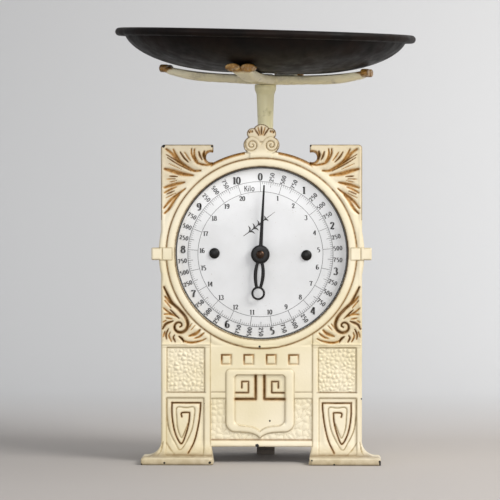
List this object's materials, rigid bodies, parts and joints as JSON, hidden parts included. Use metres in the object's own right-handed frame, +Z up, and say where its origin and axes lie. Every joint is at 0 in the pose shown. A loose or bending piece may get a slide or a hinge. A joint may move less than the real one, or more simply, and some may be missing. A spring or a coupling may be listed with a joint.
{
  "type": "kitchen scale",
  "caption": "Dial spring kitchen scale with an ornate cast front on flared feet, a round enamel dial with pointer, a star pan support and a shallow lift-off dish.",
  "frame": {"origin": "on the floor, under the axis of the load column and the middle of the dish", "axes": "+Z up along the load column, -Y out of the front of the dial, +X to the right seen from the front"},
  "size_m": [0.2497, 0.2497, 0.3597],
  "materials": {
    "front_paint": "cream oil paint over cast iron, gold-brown in the recesses, chipped black on the edges",
    "cover_paint": "cream paint on sheet steel, thinner and duller than on the front",
    "column_paint": "olive cream paint on turned steel, semi-gloss",
    "support_paint": "cream paint on cast iron with gold paint on the four forked tips",
    "dial_enamel": "white vitreous enamel on sheet steel, glossy, black markings",
    "dish_steel": "burnt-black sheet steel with a brown patina, semi-gloss",
    "black_paint": "black japanned steel, satin",
    "base_paint": "worn black paint on iron",
    "brass": "aged brass, dull",
    "works_steel": "plain drawn steel, lightly oiled",
    "screw_steel": "turned steel screws, slightly tarnished",
    "spring_steel": "blued spring steel wire"
  },
  "bodies": {
    "frame": {"base_plate": "base_paint", "base_screw_left": "screw_steel", "base_screw_right": "screw_steel", "bracket_screw_left": "screw_steel", "bracket_screw_right": "screw_steel", "bridge_screw_left": "screw_steel", "bridge_screw_right": "screw_steel", "column_grommet": "brass", "cover_screw_lower_left": "screw_steel", "cover_screw_lower_right": "screw_steel", "cover_screw_upper_left": "screw_steel", "cover_screw_upper_right": "screw_steel", "dial_plate": "dial_enamel", "dial_post_left": "brass", "dial_post_right": "brass", "dial_screw_left": "black_paint", "dial_screw_right": "black_paint", "front_bush": "brass", "front_plate": "front_paint", "hanger_bracket": "works_steel", "link_pivot_lower": "works_steel", "link_pivot_upper": "works_steel", "pinion_bridge": "brass", "rear_bush": "brass", "rear_cover": "cover_paint", "rear_leg": "base_paint", "rear_leg_screw_back": "screw_steel", "rear_leg_screw_front": "screw_steel", "works_pillar_lower_left": "brass", "works_pillar_lower_right": "brass", "works_pillar_upper_left": "brass", "works_pillar_upper_right": "brass", "works_plate": "works_steel", "works_screw_lower_left": "screw_steel", "works_screw_lower_right": "screw_steel", "works_screw_upper_left": "screw_steel", "works_screw_upper_right": "screw_steel"},
    "dish": {"dish": "dish_steel"},
    "pointer": {"pointer_hand": "black_paint", "pointer_cap": "brass", "pointer_shaft": "works_steel", "pinion": "brass"},
    "upper_link": {"upper_link": "works_steel"},
    "lower_link": {"lower_link": "works_steel"},
    "zero_nut": {"zero_nut": "brass"},
    "hanger": {"spring_hanger": "works_steel", "zero_screw": "brass", "spring_left": "spring_steel", "spring_right": "spring_steel"},
    "load": {"load_column": "column_paint", "load_carrier": "works_steel", "column_set_screw": "screw_steel", "rack": "works_steel", "rack_screw_lower": "screw_steel", "rack_screw_upper": "screw_steel", "carrier_pin_upper": "works_steel", "carrier_pin_lower": "works_steel", "pan_support": "support_paint", "support_screw": "screw_steel"}
  },
  "joints": [
    {"name": "load_slide", "type": "slide", "parent": "frame", "child": "load", "axis": [0, 0, -1], "range_m": [0, 0.02388], "stiffness_N_per_m": 4100, "springref_m": -0.008, "deforming": ["spring_left", "spring_right"]},
    {"name": "dish_lift", "type": "slide", "parent": "load", "child": "dish", "axis": [0, 0, 1], "range_m": [0, 0.06]},
    {"name": "pointer_turn", "type": "hinge", "parent": "frame", "child": "pointer", "pos_m": [-0.0032, 0, 0.1715], "axis": [0, 1, 0], "range_deg": [-1, 343]},
    {"name": "upper_link_turn", "type": "hinge", "parent": "frame", "child": "upper_link", "pos_m": [-0.05, -0.01275, 0.19306], "axis": [0, 1, 0], "range_deg": [-0.5, 30]},
    {"name": "lower_link_turn", "type": "hinge", "parent": "frame", "child": "lower_link", "pos_m": [-0.05, -0.01275, 0.11806], "axis": [0, 1, 0], "range_deg": [-0.5, 30]},
    {"name": "zero_nut_turn", "type": "hinge", "parent": "frame", "child": "zero_nut", "pos_m": [0, 0.02, 0.25], "axis": [0, 0, 1], "range_deg": [-540, 540]},
    {"name": "hanger_slide", "type": "slide", "parent": "frame", "child": "hanger", "axis": [0, 0, 1], "range_m": [-0.0011, 0.0011]}
  ],
  "couplings": [
    {"joint": "pointer_turn", "follows": "load_slide", "rad_per_m": 250},
    {"joint": "upper_link_turn", "follows": "load_slide", "rad_per_m": 21.27},
    {"joint": "lower_link_turn", "follows": "load_slide", "rad_per_m": 21.27},
    {"joint": "hanger_slide", "follows": "zero_nut_turn", "m_per_rad": -0.00011141}
  ]
}
